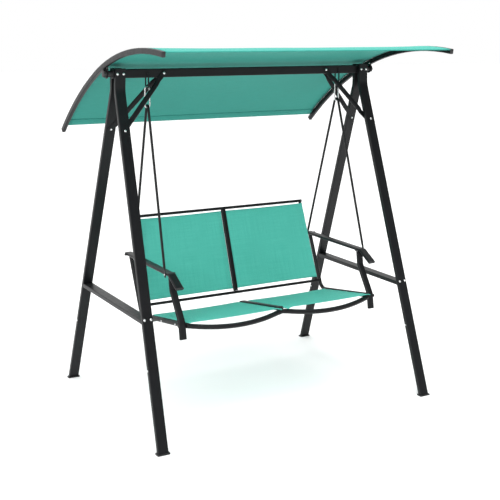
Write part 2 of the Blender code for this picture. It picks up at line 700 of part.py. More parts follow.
def make_back(seat, steel):
    bar = cross_bar(STILE_TOP_X + STILE_R, *BACK_TOP, BACK_RAIL_R, BACK_WALL)
    seat.add("back_top_rail", bar, steel)
    bar = cross_bar(SIDE_X - SIDE_R - GAP, *BACK_LOW, BACK_RAIL_R, BACK_WALL)
    seat.add("back_bottom_rail", bar, steel)
    start = BACK_RAIL_R + GAP
    end = BACK_HEIGHT - start
    up = back_point(0, 1) - back_point(0, 0)
    stile = round_tube(STILE_R, BACK_WALL)
    for side, sx in SIDES.items():
        path = [back_point(sx * stile_x(start), start), back_point(sx * stile_x(end), end)]
        seat.add(f"back_stile_{side}", tube(path, stile, AXIS_X, (up, up)), steel)
    path = [back_point(0, start), back_point(0, end)]
    seat.add("back_centre_stile",
             tube(path, box_tube(*CENTRE_STILE, 0.0062, BACK_WALL), AXIS_X), steel)


def sling(edges, normal, sx):
    """Flat cloth panel between two edges, each a point at x = 0, an inner and an outer x."""
    half = normal.normalized() * (SLING_THICK / 2)
    rings = []
    for point, inner_x, outer_x in edges:
        inner = point + AXIS_X * (sx * inner_x)
        outer = point + AXIS_X * (sx * outer_x)
        rings.append([outer + half, inner + half, inner - half, outer - half])
    return skin(rings)


def make_slings(seat, cloth):
    seat_edges = [(seat_point(0, SEAT_FRONT_Y), SLING_INNER_X, SLING_OUTER_X),
                  (seat_point(0, SEAT_REAR_Y), SLING_INNER_X, SLING_OUTER_X)]
    back_inner = CENTRE_STILE[0] / 2 + 0.0015
    back_edges = []
    for height in (BACK_SLING_LOW, BACK_HEIGHT - BACK_SLING_TOP):
        outer = stile_x(height) - STILE_R - 2 * GAP
        back_edges.append((back_point(0, height), back_inner, outer))
    across = AXIS_X.cross(back_point(0, 1) - back_point(0, 0))
    for side, sx in SIDES.items():
        panel = sling(seat_edges, Vector((0, -SEAT_SLOPE, 1)), sx)
        seat.add(f"seat_sling_{side}", panel, cloth)
        seat.add(f"back_sling_{side}", sling(back_edges, across, sx), cloth)


# ---------------------------------------------------------------- whole swing
def main():
    clear_scene()
    steel = make_material("powder_coat", POWDER_BLACK, 0.42, 0.0)
    plastic = make_material("black_plastic", PLASTIC_BLACK, 0.50, 0.0)
    zinc = make_material("zinc_plate", ZINC, 0.30, 1.0)
    cloth = make_material("sling_cloth", TURQUOISE, 0.80, 0.0)

    stand = Group("swing_origin", None, (0, 0, 0))
    stand.empty.location = (0, CENTRE_SHIFT_Y, 0)
    make_beam(stand, steel)
    make_legs(stand, steel, plastic)
    make_stretchers(stand, steel)
    make_braces(stand, steel)
    make_hangers(stand, steel)
    make_end_plugs(stand, plastic)

    canopy = Group("canopy_pivot", stand, (0, 0, BEAM_Z))
    make_canopy(canopy, steel, cloth)
    hooks = Group("hook_pivot", stand, (0, 0, HOOK_TOP_Z))
    for side, sx in SIDES.items():
        knob = Group(f"knob_pivot_{side}", stand, (0, 0, BEAM_Z))
        make_knob(knob, f"clamp_knob_{side}", sx, plastic)
        make_hook(hooks, side, sx, zinc)
        gate_pivot = (sx * (HANGER_X - HOOK_HALF), 0, GATE_LOW_Z)
        make_gate(Group(f"gate_pivot_{side}", hooks, gate_pivot), side, sx, zinc)

    seat = Group("seat_pivot", hooks, (0, 0, HOOK_BOTTOM_Z))
    make_hanger_rods(seat, steel)
    make_arm_frames(seat, steel)
    make_seat_frame(seat, steel)
    make_back(seat, steel)
    make_slings(seat, cloth)


main()
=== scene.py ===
"""Looks of the canopy porch swing: cloth, fasteners, caps, materials, studio and camera.

Metres, +Z up; +X is the swing's right as one looks at its front, which faces -Y. The load-carrying
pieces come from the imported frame. This script gives them their finish, replaces the plain cloth
solids with sewn sheets, and adds bolts, nuts, caps and stitching that ride on the same bodies.
"""
import math

import bmesh
import bpy
import numpy as np
from mathutils import Matrix, Vector


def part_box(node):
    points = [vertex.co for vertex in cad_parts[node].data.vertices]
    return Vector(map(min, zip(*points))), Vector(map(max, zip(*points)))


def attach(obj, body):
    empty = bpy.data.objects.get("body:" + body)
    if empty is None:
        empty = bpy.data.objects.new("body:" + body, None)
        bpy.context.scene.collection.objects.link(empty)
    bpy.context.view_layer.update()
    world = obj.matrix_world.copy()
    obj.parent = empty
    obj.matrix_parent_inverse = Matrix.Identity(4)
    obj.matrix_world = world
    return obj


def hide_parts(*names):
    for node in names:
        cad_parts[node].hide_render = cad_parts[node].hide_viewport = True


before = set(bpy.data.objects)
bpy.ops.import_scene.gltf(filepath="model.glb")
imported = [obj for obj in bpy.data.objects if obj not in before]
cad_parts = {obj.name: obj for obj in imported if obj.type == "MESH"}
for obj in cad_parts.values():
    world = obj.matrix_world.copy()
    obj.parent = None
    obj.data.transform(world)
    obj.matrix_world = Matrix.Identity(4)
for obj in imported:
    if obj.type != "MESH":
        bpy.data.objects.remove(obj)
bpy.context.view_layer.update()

# ---------------------------------------------------------------- sizes
SIDES = {"left": -1, "right": 1}
ENDS = {"front": -1, "rear": 1}
AXIS_X = Vector((1, 0, 0))
AXIS_Y = Vector((0, 1, 0))
AXIS_Z = Vector((0, 0, 1))

# tube sections that a cap closes: width along its wide axis, depth, corner radius
LEG_TUBE = (0.050, 0.020, 0.003)
ARCH_TUBE = (0.018, 0.024, 0.004)
ARM_TUBE = (0.040, 0.015, 0.007)
POST_TUBE = (0.036, 0.0152, 0.007)
CENTRE_BAR_TUBE = (0.034, 0.019, 0.0055)
BACK_RAIL_R = 0.0075
SEAT_RAIL_R = 0.008
CAP_THICK = 0.0030         # what a tube's plastic cap adds beyond the tube
LEG_CAP_THICK = 0.0026
CENTRE_BAR_CAP_THICK = 0.0012
SIDE_RAIL_CAP_CROWN = 0.0010

# bolts
BOLT_R = 0.0050            # domed head of an M6 carriage bolt
SMALL_BOLT_R = 0.0038      # domed head of an M5 bolt
BRACKET_BOLT_R = SMALL_BOLT_R * 0.8
BEAM_BOLT_SPREAD = 0.0145  # from a leg's centre line to each of its two beam bolts
STRETCHER_BOLT_SPREAD = 0.0155
STRETCHER_BOLT_RISE = 0.008
BRACE_BEAM_X = 0.449
EYE_FACE = 0.0164          # from the beam's middle to the outer face of a stirrup's flat end
BRACE_LEG_Z = 1.355
BRACE_THICK = 0.0046       # a brace's flattened end with the gap on either side of it
SPLICE_BOLT_Z = 0.344
SPIGOT_Z = 0.39            # a height between a lower leg's shoulder and its spigot's end
ROD_BOLT_OUT = 0.0052      # armrest's side to the bolt's head, over a rod's flattened end
ROD_BOLT_FRONT = 0.011     # from a hanger rod's front edge back to its bolt
ROD_BOLT_REAR = 0.009
SIDE_BOLTS_Y = (-0.125, -0.273)    # bolts from a side frame into its seat rail
SIDE_FRAME_LEVEL = (0.1199, 0.430)  # y, z of a point on the side frame's sloping centre line
SIDE_FRAME_SLOPE = 0.16
SIDE_BOLT_LENGTH = 0.020
FRONT_RAIL_BOLT = (-0.3192, 0.4972)  # y, z of the bolt from a front post into the front rail
FRONT_RAIL_CAP_R = 0.0078
FRONT_RAIL_CAP_CROWN = 0.0045
FRONT_RAIL_CAP_INSERT = 0.002
CAP_NUT_SEAT = 0.0014      # thickness of the washer under a cap nut
CAP_NUT_ACROSS = 0.011
CAP_NUT_TALL = 0.0040
BRACKET_BOLT_SPREAD = 0.020        # along a canopy bracket, either side of its middle
BRACKET_BOLT_RISE = 0.0225         # from the beam's middle, square to the bracket's slope
BRACKET_SLOPE = math.radians(19.0)
BRACKET_THICK = 0.003

ARM_END_REACH = 0.0092     # past the depth of an armrest's front end face along y
ARM_FRONT_WAY = Vector((0, -0.082, -0.0465))  # the way an armrest's bent front end points

# canopy arches
ARCH_CREST = (-0.4371, 1.720)   # y, z of an arch's highest point on its centre line
ARCH_FRONT_R = 1.362
ARCH_REAR_R = 1.843
ARCH_CHANGE = math.radians(25.6)   # slope at which the bend radius changes
ARCH_END_SLOPES = {"front": math.radians(-6.58), "rear": math.radians(41.6)}
ARCH_END_REACH = {"front": 0.0035, "rear": 0.0175}  # just past an end face's depth along y
ARCH_FACE_X = 0.727        # inner face of an arch
ARCH_CORNER_R = 0.004
ARCH_FLAT = 0.008          # an arch's inner face is flat up to here above its centre line

# cloth
CANOPY_CLOTH = 0.0005      # one layer; the sheet is two layers thick at a hem
CANOPY_TOP_LIFT = 0.0112   # the cloth's middle surface above the arches' centre line
CANOPY_SLEEVE_DEEP = 0.0052  # between the two layers of the sleeve round a flat bar
CANOPY_SLEEVE_REACH = 0.0116  # from a bar's centre to the start of the sleeve's rounded edge
CANOPY_SEAM = 0.024        # from a bar's centre to the seam, along the cloth
CANOPY_SEAM_GAP = 0.0021   # between the two layers' middles at the seam
CANOPY_TAIL = 0.006        # of hem beyond the seam
CANOPY_STEPS = 64          # rows of the sheet between its two hems
CANOPY_COLUMNS = 60
CANOPY_SAG = 0.006
CANOPY_WAVE = 0.0008
CANOPY_SIDE_HEM = 0.03
CANOPY_STITCH_PITCH = 0.005
CANOPY_STITCH = 0.0036
SLING_CLOTH = 0.0009
SLING_SLEEVE_R = 0.0087
SLING_SEAM = 0.026         # rail centre to the sleeve's seam
SLING_STEPS = 44           # rows of a sling between its two hemmed ends
SLING_COLUMNS = 34         # columns of a sling between its inner roll and its outer rail
SLING_ROLL_COLUMNS = 8     # columns before them, round the keder rod
SLING_ROLL_R = 0.0022
INNER_TUCK = 0.0040        # how far a sling's inner edge is drawn down beside the centre bar
HEM = 0.016                # width of the hem at a sling's two free ends
SLING_RIPPLE = 0.00035
SEAT_SLING_LIFT = 0.0095   # a seat sling's plane above its rails' centre lines
SEAT_SLING_SAG = 0.0035
SEAT_SLING_PULL = 0.0030   # how far its free edges are drawn in
BACK_SLING_LIFT = 0.0048
BACK_SLING_SAG = 0.0030
BACK_SLING_PULL = 0.0020
BACK_SLING_INSET = 0.0004  # from the CAD cloth's free edges in to the sheet's

# shading and studio
CREASE_ANGLE = math.radians(50)    # steel edges sharper than this stay crisp
FLOOR_Z = -0.0004
FLOOR_REACH = 30.0
BRIGHT_SIDE = (-0.55, 0.65, 0.52)  # direction of the brightest part of the surroundings
WORLD_DIM = 0.30
WORLD_BRIGHT = 1.55
STUDIO_LIGHTS = (                  # name, kind, place, size (degrees for a sun), strength
    ("key_light", "SUN", (-3.0, -4.2, 4.4), 50.0, 1.9),
    ("top_light", "AREA", (0.2, -0.8, 4.6), 3.0, 150.0),
)
LIGHTS_AIM = Vector((0, 0, 1.0))
CAMERA_PLACE = Vector((-2.430, -4.1821, 1.845))
CAMERA_AZIMUTH = math.radians(-30.26)
CAMERA_PITCH = math.radians(13.03)  # downwards
CAMERA_ROLL = math.radians(0.50)
CAMERA_LENS = 71.55
CAMERA_SENSOR = 36


# ---------------------------------------------------------------- materials
class Finish:
    """A material whose Principled shader is fed by procedural nodes."""

    def __init__(self, name, roughness, metallic=0.0, **constants):
        self.material = bpy.data.materials.new(name)
        self.material.use_nodes = True
        self.tree = self.material.node_tree
        self.shader = self.tree.nodes["Principled BSDF"]
        self.shader.inputs["Roughness"].default_value = roughness
        self.shader.inputs["Metallic"].default_value = metallic
        for socket, value in constants.items():
            self.shader.inputs[socket.replace("_", " ")].default_value = value

    def node(self, kind, inputs=(), **settings):
        made = self.tree.nodes.new("ShaderNode" + kind)
        for key, value in settings.items():
            setattr(made, key, value)
        for socket, value in dict(inputs).items():
            if isinstance(value, bpy.types.NodeSocket):
                self.tree.links.new(value, made.inputs[socket])
            else:
                made.inputs[socket].default_value = value
        return made

    def place(self):
        return self.node("TexCoord").outputs["Object"]

    def uv(self):
        return self.node("TexCoord").outputs["UV"]

    def stretched(self, vector, scale):
        return self.node("Mapping", {"Vector": vector, "Scale": scale}).outputs[0]

    def noise(self, vector, scale, detail=2.0, roughness=0.5):
        made = self.node("TexNoise", {"Vector": vector, "Scale": scale, "Detail": detail,
                                      "Roughness": roughness})
        return made.outputs["Fac"]

    def cells(self, vector, scale):
        return self.node("TexVoronoi", {"Vector": vector, "Scale": scale}).outputs["Distance"]

    def maths(self, operation, a, b=0.0):
        return self.node("Math", {0: a, 1: b}, operation=operation).outputs[0]

    def remap(self, value, low, high, to_low, to_high):
        made = self.node("MapRange", {"Value": value, "From Min": low, "From Max": high,
                                      "To Min": to_low, "To Max": to_high})
        return made.outputs["Result"]

    def blend(self, factor, dark, light):
        """Colour that goes from dark to light with the factor; each may be a colour or a socket."""
        made = self.node("Mix", data_type="RGBA")
        for socket, value in ((made.inputs[0], factor), (made.inputs[6], dark),
                              (made.inputs[7], light)):
            if isinstance(value, bpy.types.NodeSocket):
                self.tree.links.new(value, socket)
            else:
                socket.default_value = (*value, 1.0)
        return made.outputs[2]

    def set(self, socket, value):
        self.tree.links.new(value, self.shader.inputs[socket])

    def bump(self, *layers):
        """Stacks bumps; each layer is a height, a strength and a depth in metres."""
        normal = None
        for height, strength, depth in layers:
            inputs = {"Height": height, "Strength": strength, "Distance": depth}
            if normal is not None:
                inputs["Normal"] = normal
            normal = self.node("Bump", inputs).outputs["Normal"]
        self.set("Normal", normal)


def powder_coat():
    """Satin black powder coat: orange peel, fine lighter specks and streaks that are partly rubbed
    wear and partly painted sparkle, and a little dust on what faces up.
    """
    finish = Finish("powder_coat_finish", 0.4, Specular_IOR_Level=0.22)
    place = finish.place()
    peel = finish.noise(place, 420.0, 3.0, 0.55)
    cloud = finish.noise(place, 7.0, 5.0, 0.6)
    rub_and_sparkle_noise = finish.noise(finish.stretched(place, (60.0, 60.0, 9.0)), 1.0, 6.0, 0.7)
    coat = finish.blend(cloud, (0.0036, 0.0040, 0.0048), (0.0082, 0.0088, 0.0100))
    # lighter specks and streaks: partly rubbed wear, partly painted sparkle, the glint of the coat
    # painted into its colour
    wear_and_painted_sparkle = finish.remap(rub_and_sparkle_noise, 0.66, 0.80, 0.0, 0.35)
    coat = finish.blend(wear_and_painted_sparkle, coat, (0.026, 0.026, 0.028))
    upward = finish.node("SeparateXYZ", {0: finish.node("NewGeometry").outputs["Normal"]})
    dust = finish.remap(upward.outputs["Z"], 0.55, 1.0, 0.0, 0.22)
    dust = finish.maths("MULTIPLY", dust, finish.remap(cloud, 0.35, 0.75, 0.1, 0.6))
    finish.set("Base Color", finish.blend(dust, coat, (0.050, 0.049, 0.046)))
    finish.set("Roughness", finish.remap(rub_and_sparkle_noise, 0.3, 0.75, 0.33, 0.48))
    finish.bump((peel, 0.22, 0.0004), (cloud, 0.10, 0.002))
    return finish.material


def moulded_plastic():
    """Black moulded plastic with a fine spark-eroded grain."""
    finish = Finish("moulded_plastic_finish", 0.5)
    place = finish.place()
    grain = finish.cells(place, 1500.0)
    cloud = finish.noise(place, 30.0, 4.0, 0.6)
    finish.set("Base Color", finish.blend(cloud, (0.007, 0.007, 0.008), (0.017, 0.017, 0.018)))
    finish.set("Roughness", finish.remap(cloud, 0.3, 0.7, 0.40, 0.58))
    finish.bump((grain, 0.25, 0.0003))
    return finish.material


def zinc_plate():
    """Bright zinc plate with faint blue and yellow clouds and drawn-wire scratches."""
    finish = Finish("zinc_plate_finish", 0.3, 1.0)
    place = finish.place()
    cloud = finish.noise(place, 90.0, 4.0, 0.6)
    scratch = finish.noise(finish.stretched(place, (900.0, 900.0, 120.0)), 1.0, 3.0, 0.6)
    tint = finish.blend(cloud, (0.66, 0.69, 0.74), (0.86, 0.85, 0.80))
    finish.set("Base Color", tint)
    finish.set("Roughness", finish.remap(scratch, 0.3, 0.7, 0.20, 0.40))
    finish.bump((scratch, 0.15, 0.0002))
    return finish.material


def weave(finish, pitch_u, pitch_v):
    """Height of a plain weave in the sheet's own metres, and a mask of its tiny holes, where shade is
    painted into the colour.
    """
    apart = finish.node("SeparateXYZ", {0: finish.uv()})
    turn_u = finish.maths("MULTIPLY", apart.outputs["X"], math.pi / pitch_u)
    turn_v = finish.maths("MULTIPLY", apart.outputs["Y"], math.pi / pitch_v)
    sine_u = finish.maths("SINE", turn_u)
    sine_v = finish.maths("SINE", turn_v)
    over = finish.remap(finish.maths("MULTIPLY", sine_u, sine_v), -0.25, 0.25, 0.0, 1.0)
    yarn_u = finish.maths("ABSOLUTE", sine_u)
    yarn_v = finish.maths("ABSOLUTE", sine_v)
    height = finish.node("Mix", {0: over, 2: yarn_u, 3: yarn_v}).outputs[0]
    hole_shade_mask = finish.maths("MULTIPLY", yarn_u, yarn_v)
    hole_shade_mask = finish.remap(hole_shade_mask, 0.0, 0.22, 1.0, 0.0)
    return height, hole_shade_mask


def sling_mesh():
    """Coated mesh cloth of the seat and back: coarse yarns, tiny gaps with painted shade in them, a
    soft sheen.
    """
    finish = Finish("sling_mesh_finish", 0.6, Sheen_Weight=0.0, Sheen_Roughness=0.45,
                    Specular_IOR_Level=0.08)
    height, hole_shade_mask = weave(finish, 0.0011, 0.0013)
    place = finish.place()
    streak_u = finish.noise(finish.stretched(finish.uv(), (420.0, 5.0, 1.0)), 1.0, 3.0, 0.6)
    streak_v = finish.noise(finish.stretched(finish.uv(), (5.0, 420.0, 1.0)), 1.0, 3.0, 0.6)
    cloud = finish.noise(place, 5.0, 4.0, 0.55)
    yarns = finish.maths("MULTIPLY", finish.maths("ADD", streak_u, streak_v), 0.5)
    base = finish.blend(finish.remap(yarns, 0.36, 0.64, 0.0, 1.0),
                        (0.078, 0.475, 0.385), (0.118, 0.590, 0.490))
    base = finish.blend(finish.remap(cloud, 0.35, 0.75, 0.0, 0.22), base, (0.090, 0.455, 0.380))
    # painted shade: the weave's tiny holes go towards a darker, shaded copy of the yarn colour
    finish.set("Base Color", finish.blend(finish.maths("MULTIPLY", hole_shade_mask, 0.30), base,
                                          (0.018, 0.130, 0.105)))
    finish.set("Roughness", finish.remap(yarns, 0.3, 0.7, 0.52, 0.72))
    finish.bump((height, 0.55, 0.0005), (cloud, 0.05, 0.004))
    return finish.material


def canopy_polyester():
    """Coated polyester of the canopy: a fine weave with slubs and soft creases, and painted shade in
    the weave's tiny holes.
    """
    finish = Finish("canopy_polyester_finish", 0.7, Sheen_Weight=0.04, Sheen_Roughness=0.35,
                    Specular_IOR_Level=0.10)
    height, hole_shade_mask = weave(finish, 0.00055, 0.00055)
    place = finish.place()
    slub = finish.noise(finish.stretched(finish.uv(), (14.0, 700.0, 1.0)), 1.0, 4.0, 0.65)
    crease = finish.noise(finish.stretched(finish.uv(), (1.6, 9.0, 1.0)), 1.0, 3.0, 0.5)
    cloud = finish.noise(place, 3.5, 4.0, 0.55)
    base = finish.blend(finish.remap(slub, 0.35, 0.65, 0.0, 1.0),
                        (0.034, 0.252, 0.209), (0.052, 0.315, 0.262))
    base = finish.blend(finish.remap(cloud, 0.35, 0.75, 0.0, 0.25), base, (0.041, 0.235, 0.204))
    # painted shade: the weave's tiny holes go towards a shaded copy of the cloth's turquoise
    finish.set("Base Color", finish.blend(finish.maths("MULTIPLY", hole_shade_mask, 0.12), base,
                                          (0.018, 0.130, 0.107)))
    finish.set("Roughness", finish.remap(slub, 0.3, 0.7, 0.62, 0.80))
    finish.bump((height, 0.30, 0.0002), (slub, 0.18, 0.0004), (crease, 0.20, 0.006))
    return finish.material


def sewing_thread():
    finish = Finish("sewing_thread_finish", 0.55, Sheen_Weight=0.2)
    twist = finish.noise(finish.place(), 1800.0, 2.0, 0.6)
    finish.set("Base Color", finish.blend(twist, (0.035, 0.220, 0.180), (0.060, 0.310, 0.255)))
    finish.bump((twist, 0.3, 0.0002))
    return finish.material


FINISHES = {
    "powder_coat": powder_coat(),
    "black_plastic": moulded_plastic(),
    "zinc_plate": zinc_plate(),
    "sling_cloth": sling_mesh(),
}
CANOPY_FINISH = canopy_polyester()
THREAD = sewing_thread()


def dress_frame():
    """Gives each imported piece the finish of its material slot, and smooth shading on its bends."""
    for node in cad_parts.values():
        node.data.shade_smooth()
        joined = node.modifiers.new("joined_facets", "WELD")
        joined.merge_threshold = 1e-5
        creases = node.modifiers.new("creases", "EDGE_SPLIT")
        creases.split_angle = CREASE_ANGLE
        flats = node.modifiers.new("flat_faces", "WEIGHTED_NORMAL")
        flats.weight = 80
        for place in node.material_slots:
            slot = next(name for name in FINISHES if place.material.name.startswith(name))
            place.material = FINISHES[slot]


# ---------------------------------------------------------------- reading the frame
def points_of(node):
    found = {tuple(round(c, 6) for c in v.co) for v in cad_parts[node].data.vertices}
    return [Vector(point) for point in sorted(found)]


def tube_ends(node):
    """Middle points of a straight tube's two ends, the lower x, y, z end first."""
    points = np.array([tuple(p) for p in points_of(node)])
    middle = points.mean(axis=0)
    along = np.linalg.svd(points - middle, full_matrices=False)[2][0]
    along = along if along[np.argmax(abs(along))] > 0 else -along
    reach = (points - middle) @ along
    low = points[reach < reach.min() + 0.004].mean(axis=0)
    high = points[reach > reach.max() - 0.004].mean(axis=0)
    return Vector(low), Vector(high)


def both_ends(node):
    """Name, middle and outward direction of a tube's front and rear end."""
    front, rear = tube_ends(node)
    along = (rear - front).normalized()
    return ("front", front, -along), ("rear", rear, along)


def leg_line(end, side):
    """A point on a leg's centre line and the line's direction, one metre of height long."""
    low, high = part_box(f"foot_cap_{end}_{side}")
    foot = Vector(((low.x + high.x) / 2, (low.y + high.y) / 2, low.z))
    tip = [p for p in points_of(f"leg_lower_{end}_{side}") if p.z > SPIGOT_Z]
    tip = sum(tip, Vector()) / len(tip)
    return foot, (tip - foot) / (tip.z - foot.z)


# ---------------------------------------------------------------- mesh makers
def make_piece(name, shape, material, body, smooth=40):
    """Turns a bmesh in the frame's metres into a piece that rides on a body."""
    bmesh.ops.recalc_face_normals(shape, faces=shape.faces)
    mesh = bpy.data.meshes.new(name)
    shape.to_mesh(mesh)
    shape.free()
    mesh.shade_smooth()
    mesh.set_sharp_from_angle(angle=math.radians(smooth))
    mesh.materials.append(material)
    piece = bpy.data.objects.new(name, mesh)
    bpy.context.scene.collection.objects.link(piece)
    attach(piece, body)
    return piece


def add_rings(shape, rings):
    """Joins rings of equal length with quads, and closes both ends."""
    loops = [[shape.verts.new(point) for point in ring] for ring in rings]
    for low, high in zip(loops, loops[1:]):
        for i in range(len(low)):
            j = (i + 1) % len(low)
            shape.faces.new((low[i], low[j], high[j], high[i]))
    shape.faces.new(loops[0])
    shape.faces.new(loops[-1])


def cross_axes(direction, hint=None):
    direction = direction.normalized()
    hint = hint or (AXIS_Z if abs(direction.z) < 0.9 else AXIS_X)
    u = (hint - direction * hint.dot(direction)).normalized()
    return u, direction.cross(u)


def add_turned(shape, at, direction, profile, sides=24):
    """Solid of revolution: profile is a list of radius and distance along direction."""
    u, v = cross_axes(direction)
    rings = []
    for radius, reach in profile:
        ring = []
        for i in range(sides):
            angle = math.tau * i / sides
            ring.append(at + direction * reach + (u * math.cos(angle) + v * math.sin(angle)) * radius)
        rings.append(ring)
    add_rings(shape, rings)


def dome(radius, tall, steps=6):
    """Profile of a domed head, from its rim to its crown."""
    profile = [(radius, 0.0), (radius, tall * 0.18)]
    for step in range(1, steps + 1):
        angle = math.pi / 2 * step / steps
        profile.append((radius * math.cos(angle) + 0.0002, tall * (0.18 + 0.82 * math.sin(angle))))
    return profile


def add_nut(shape, at, direction, across, tall, hint=None):
    """Hexagon nut with chamfered corners, seen on both faces."""
    u, v = cross_axes(direction, hint)
    rings = []
    corner = across / 2 / math.cos(math.pi / 6)
    for share, reach in ((0.90, 0.0), (1.0, 0.10), (1.0, 0.86), (0.90, 1.0)):
        ring = []
        for i in range(6):
            angle = math.tau * i / 6
            ring.append(at + direction * tall * reach
                        + (u * math.cos(angle) + v * math.sin(angle)) * corner * share)
        rings.append(ring)
    add_rings(shape, rings)


def make_bolt(name, head_at, nut_at, body, radius=BOLT_R, nut_shown=True, slot="zinc_plate"):
    """Carriage bolt: domed head and washer on one side, washer, nut and thread on the other."""
    out = (head_at - nut_at).normalized()
    shank = radius * 0.52
    shape = bmesh.new()
    add_turned(shape, head_at, out, [(radius * 1.10, 0.0), (radius * 1.10, 0.0005),
                                     (radius * 1.04, 0.0007)])
    add_turned(shape, head_at + out * 0.0007, out, dome(radius, radius * 0.50))
    if nut_shown:
        add_turned(shape, nut_at, -out, [(radius * 1.30, 0.0), (radius * 1.30, 0.0010),
                                         (radius * 1.22, 0.0012)])
        add_nut(shape, nut_at - out * 0.0012, -out, radius * 1.75, radius * 0.78)
        thread = [(shank, radius * 0.7)]
        for turn in range(4):
            start = 0.0012 + radius * 0.78 + turn * 0.0009
            thread += [(shank, start), (shank * 0.88, start + 0.00045)]
        thread.append((shank * 0.8, thread[-1][1] + 0.0004))
        add_turned(shape, nut_at, -out, thread, 16)
    add_turned(shape, nut_at, out, [(shank, 0.0), (shank, (head_at - nut_at).length)], 12)
    return make_piece(name, shape, FINISHES[slot], body)


def rounded_ring(centre, u, v, width, depth, radius, steps=4):
    ring = []
    for quarter, (sx, sy) in enumerate(((1, 1), (-1, 1), (-1, -1), (1, -1))):
        for step in range(steps):
            angle = math.pi / 2 * (quarter + step / (steps - 1))
            a = sx * (width / 2 - radius) + radius * math.cos(angle)
            b = sy * (depth / 2 - radius) + radius * math.sin(angle)
            ring.append(centre + u * a + v * b)
    return ring


def make_cap(name, centre, outward, wide_axis, tube, body, thick=CAP_THICK):
    """Plastic plug of a rectangular tube: a short insert and a softly rounded flange."""
    outward = outward.normalized()
    u = (wide_axis - outward * wide_axis.dot(outward)).normalized()
    v = outward.cross(u)
    width, depth, radius = tube
    stations = [(-0.006, 0.0040), (0.0003, 0.0036), (0.0003, 0.0), (thick * 0.45, 0.0),
                (thick * 0.8, 0.0008), (thick, 0.0026)]
    shape = bmesh.new()
    rings = []
    for reach, inset in stations:
        corner = max(radius - inset / 2, 0.0006)
        rings.append(rounded_ring(centre + outward * reach, u, v,
                                  width - inset, depth - inset, corner))
    add_rings(shape, rings)
    return make_piece(name, shape, FINISHES["black_plastic"], body, 50)


def make_round_cap(name, centre, outward, radius, body, crown=0.0035, insert=0.006):
    """Domed plastic plug of a round tube."""
    outward = outward.normalized()
    shape = bmesh.new()
    inner = radius - 0.0016
    profile = [(inner, -insert), (inner, 0.0003), (radius + 0.0003, 0.0003)]
    profile += [(r, reach + 0.0003) for r, reach in dome(radius + 0.0003, crown)[1:]]
    add_turned(shape, centre, outward, profile)
    return make_piece(name, shape, FINISHES["black_plastic"], body, 50)


# ---------------------------------------------------------------- cloth
def make_sheet(name, rows, thickness, material, body, layers):
    """Sheet of cloth from a grid of points, with its own metres as texture coordinates.

    layers yields each point's index and its share of the full thickness. The sheet's length and
    width, measured along the cloth, are returned with it.
    """
    shape = bmesh.new()
    uv = shape.loops.layers.uv.new("cloth_metres")
    grid = [[shape.verts.new(point) for point in row] for row in rows]
    middle = len(rows[0]) // 2
    along = [0.0]
    for low, high in zip(rows, rows[1:]):
        along.append(along[-1] + (high[middle] - low[middle]).length)
    across = [0.0]
    centre_row = rows[len(rows) // 2]
    for before, after in zip(centre_row, centre_row[1:]):
        across.append(across[-1] + (after - before).length)
    for i in range(len(rows) - 1):
        for j in range(len(centre_row) - 1):
            face = shape.faces.new((grid[i][j], grid[i][j + 1], grid[i + 1][j + 1], grid[i + 1][j]))
            corners = ((i, j), (i, j + 1), (i + 1, j + 1), (i + 1, j))
            for loop, (a, b) in zip(face.loops, corners):
                loop[uv].uv = (across[b], along[a])
            face.smooth = True
    mesh = bpy.data.meshes.new(name)
    shape.to_mesh(mesh)
    shape.free()
    mesh.materials.append(material)
    piece = bpy.data.objects.new(name, mesh)
    bpy.context.scene.collection.objects.link(piece)
    group = piece.vertex_groups.new(name="layers")
    for index, weight in layers(len(rows), len(centre_row)):
        group.add([index], weight, "REPLACE")
    shell = piece.modifiers.new("thickness", "SOLIDIFY")
    shell.thickness = thickness
    shell.offset = 0.0
    shell.vertex_group = group.name
    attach(piece, body)
    return piece, along[-1], across[-1]


def add_stitches(shape, path, normal_of, pitch=0.0042, length=0.0030, lift=0.0006, width=0.0005):
    """Row of short raised threads along a path; normal_of gives the cloth's outward direction."""
    left = pitch / 2
    for start, end in zip(path, path[1:]):
        run = (end - start).length
        if run < 1e-6:
            continue
        along = (end - start) / run
        at = left
        while at < run:
            centre = start + along * at
            out = normal_of(centre)
            side = along.cross(out).normalized()
            a = shape.verts.new(centre - along * length / 2)
            b = shape.verts.new(centre + along * length / 2)
            ring = [shape.verts.new(centre + offset) for offset in
                    (side * width, out * lift, -side * width, -out * lift * 0.3)]
            for i in range(4):
                j = (i + 1) % 4
                shape.faces.new((a, ring[i], ring[j]))
                shape.faces.new((b, ring[j], ring[i]))
            at += pitch
        left = at - run


def smooth_share(value, low, high):
    """0 below low, 1 above high, and a smooth rise between them."""
    share = min(max((value - low) / (high - low), 0.0), 1.0)
    return share * share * (3 - 2 * share)


def arc(steps, start, end):
    """Evenly spaced values from start to end, both included."""
    return [start + (end - start) * i / steps for i in range(steps + 1)]


